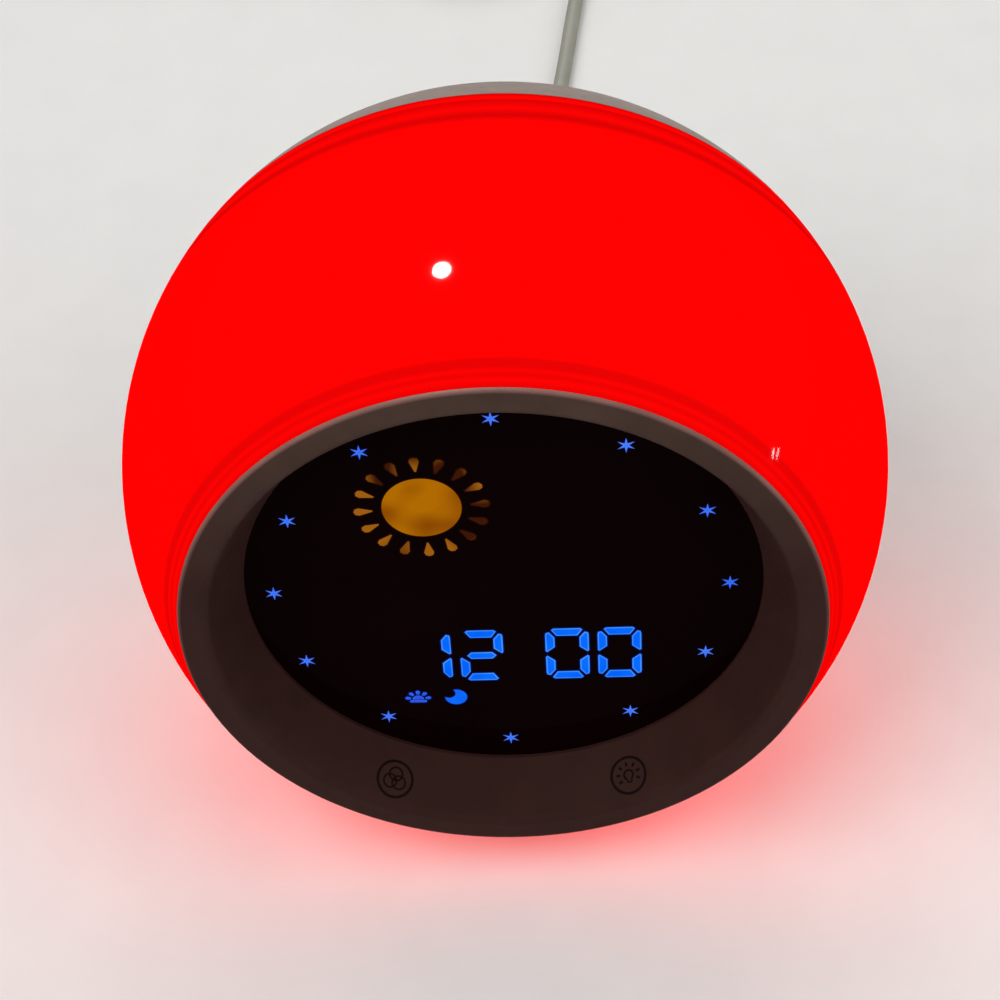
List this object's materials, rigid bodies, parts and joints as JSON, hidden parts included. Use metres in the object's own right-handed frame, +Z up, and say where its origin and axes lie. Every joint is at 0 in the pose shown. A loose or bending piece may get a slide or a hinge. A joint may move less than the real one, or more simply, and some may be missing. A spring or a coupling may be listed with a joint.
{
  "type": "alarm clock with night light",
  "caption": "Ball-shaped kids alarm clock with a red night light, dished digital face, rear push-buttons and a coiled USB supply lead",
  "frame": {"origin": "on the table under the centre of the ball", "axes": "+Z up, -Y towards the viewer of the face, +X to that viewer's right"},
  "size_m": [0.186, 0.3437, 0.142],
  "materials": {
    "dark_shell": "dark brown gloss moulded bezel, reddened by the lamp's glow",
    "glow_shell": "milky diffusing shell lit red from inside",
    "rear_grey": "satin off-white moulded shell",
    "white_inner": "white reflecting moulding",
    "smoked_lens": "smoked clear acrylic window",
    "mask_black": "matt black printed sheet",
    "blue_light": "clear insert lit blue",
    "amber_light": "clear insert lit amber",
    "circuit_board": "green solder mask",
    "lamp_white": "white lamp body",
    "steel_screw": "zinc plated steel",
    "copper_foil": "copper foil",
    "button_grey": "satin moulded button",
    "black_part": "black moulding",
    "cell_steel": "nickel plated cell can",
    "basket_steel": "pressed steel basket",
    "magnet_grey": "ferrite magnet",
    "paper_cone": "pressed paper cone",
    "foot_rubber": "soft rubber ring",
    "ribbon_grey": "grey flat cable",
    "connector_white": "nylon connector",
    "plug_metal": "nickel plated contact sleeve",
    "cord_grey": "grey-green matt cord jacket",
    "plug_grey": "matt overmould",
    "tie_black": "woven hook-and-loop strap"
  },
  "bodies": {
    "clock": {"front_bezel": "dark_shell", "display_lens": "smoked_lens", "display_mask": "mask_black", "light_block": "white_inner", "digit_segments": "blue_light", "hour_marks": "blue_light", "sun_window": "amber_light", "icon_windows": "blue_light", "display_board": "circuit_board", "display_leds": "lamp_white", "reflector_cup": "white_inner", "display_screws": "steel_screw", "touch_pads": "copper_foil", "diffuser_shell": "glow_shell", "core_frame": "white_inner", "lamp_board": "circuit_board", "lamp_leds": "lamp_white", "rear_shell": "rear_grey", "tact_switches": "black_part", "main_board": "circuit_board", "board_screws": "steel_screw", "board_chips": "black_part", "coin_cell": "cell_steel", "coin_cell_holder": "black_part", "speaker_frame": "basket_steel", "speaker_magnet": "magnet_grey", "speaker_cone": "paper_cone", "power_socket": "black_part", "rear_screws": "steel_screw", "base_plate": "rear_grey", "foot_ring": "foot_rubber", "base_screws": "steel_screw", "ribbon_cable": "ribbon_grey", "ribbon_connectors": "connector_white", "barrel_tip": "plug_metal", "supply_plug": "plug_grey", "cord_run": "cord_grey", "cord_coil": "cord_grey", "cord_tie": "tie_black", "cord_tail": "cord_grey", "usb_grip": "plug_grey", "usb_shell": "plug_metal", "usb_tongue": "black_part"},
    "time_button_body": {"time_button": "button_grey"},
    "alarm_button_body": {"alarm_button": "button_grey"},
    "sound_button_body": {"sound_button": "button_grey"},
    "plus_button_body": {"plus_button": "button_grey"},
    "minus_button_body": {"minus_button": "button_grey"}
  },
  "joints": [
    {"name": "time_press", "type": "slide", "parent": "clock", "child": "time_button_body", "axis": [0, -0.9903, 0.1392], "range_m": [0, 0.0008], "stiffness_N_per_m": 400},
    {"name": "alarm_press", "type": "slide", "parent": "clock", "child": "alarm_button_body", "axis": [0, -0.9903, 0.1392], "range_m": [0, 0.0008], "stiffness_N_per_m": 400},
    {"name": "sound_press", "type": "slide", "parent": "clock", "child": "sound_button_body", "axis": [0, -0.9903, 0.1392], "range_m": [0, 0.0008], "stiffness_N_per_m": 400},
    {"name": "plus_press", "type": "slide", "parent": "clock", "child": "plus_button_body", "axis": [0, -0.9903, 0.1392], "range_m": [0, 0.0008], "stiffness_N_per_m": 400},
    {"name": "minus_press", "type": "slide", "parent": "clock", "child": "minus_button_body", "axis": [0, -0.9903, 0.1392], "range_m": [0, 0.0008], "stiffness_N_per_m": 400}
  ]
}
